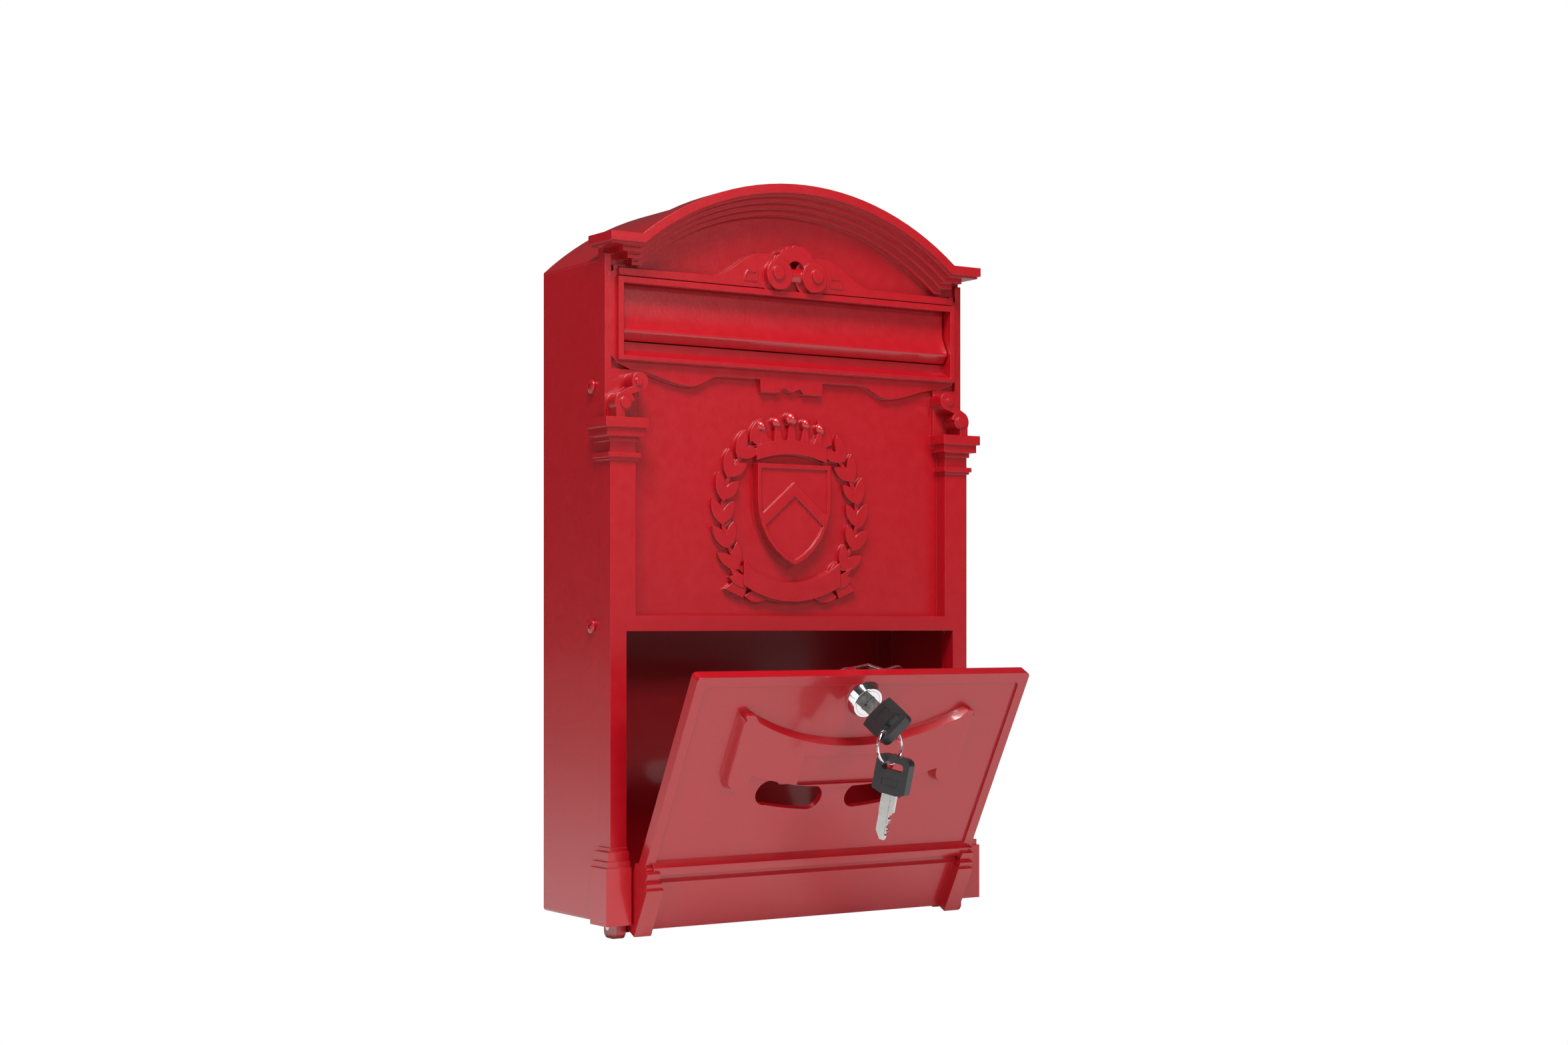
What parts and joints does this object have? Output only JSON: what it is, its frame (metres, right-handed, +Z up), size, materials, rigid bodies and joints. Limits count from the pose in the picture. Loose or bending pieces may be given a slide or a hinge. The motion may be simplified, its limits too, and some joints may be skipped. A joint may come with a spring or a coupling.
{
  "type": "letter box",
  "caption": "Wall letter box with an arched cast front, a flapped letter slot, a drop-down collection door with a cam lock, and keys.",
  "frame": {"origin": "centre of the four wall holes on the outer face of the back plate", "axes": "+Z up, +Y into the wall, +X to the right as seen by a person who faces the box"},
  "size_m": [0.2546, 0.1797, 0.418],
  "materials": {
    "red_powder_coat": "glossy red powder coat with fine orange peel",
    "zinc": "bright zinc or nickel plated steel",
    "chrome": "polished chrome plate",
    "brass": "stamped brass",
    "black_plastic": "moulded black plastic, satin"
  },
  "bodies": {
    "housing": {"front_casting": "red_powder_coat", "body_wrap": "red_powder_coat", "back_plate": "red_powder_coat", "roof_sheet": "red_powder_coat", "side_screws": "red_powder_coat", "flap_rod": "zinc", "rod_clips": "zinc", "hinge_pins": "zinc"},
    "flap": {"letter_flap": "red_powder_coat"},
    "door": {"door_casting": "red_powder_coat", "lock_barrel": "chrome", "lock_washer": "zinc", "lock_nut": "zinc"},
    "plug": {"lock_plug": "chrome", "lock_wafers": "brass", "lock_cam": "zinc", "cam_washer": "zinc", "cam_bolt": "zinc"},
    "key_a": {"key_a_blade": "zinc", "key_a_bow": "black_plastic"},
    "ring": {"key_ring": "chrome"},
    "key_b": {"key_b_blade": "zinc", "key_b_bow": "black_plastic"}
  },
  "joints": [
    {"name": "door_hinge", "type": "hinge", "parent": "housing", "child": "door", "pos_m": [0, -0.0655, -0.197], "axis": [1, 0, 0], "range_deg": [-28, 0]},
    {"name": "flap_hinge", "type": "hinge", "parent": "housing", "child": "flap", "pos_m": [0, -0.064, 0.1555], "axis": [1, 0, 0], "range_deg": [-30, 0]},
    {"name": "lock_turn", "type": "hinge", "parent": "door", "child": "plug", "pos_m": [0, -0.1404, -0.07317], "axis": [0, 0.8829, 0.4695], "range_deg": [-72, 18]},
    {"name": "key_a_slide", "type": "slide", "parent": "plug", "child": "key_a", "axis": [0, -0.8829, -0.4695], "range_m": [0, 0.03]},
    {"name": "ring_swing", "type": "hinge", "parent": "key_a", "child": "ring", "pos_m": [-0.00118, -0.16587, -0.08854], "axis": [-0.2079, 0.9781, 0], "range_deg": [0, 12]},
    {"name": "key_b_swing", "type": "hinge", "parent": "ring", "child": "key_b", "pos_m": [-0.00118, -0.16587, -0.10754], "axis": [-0.2079, 0.9781, 0], "range_deg": [-8, 8]}
  ]
}
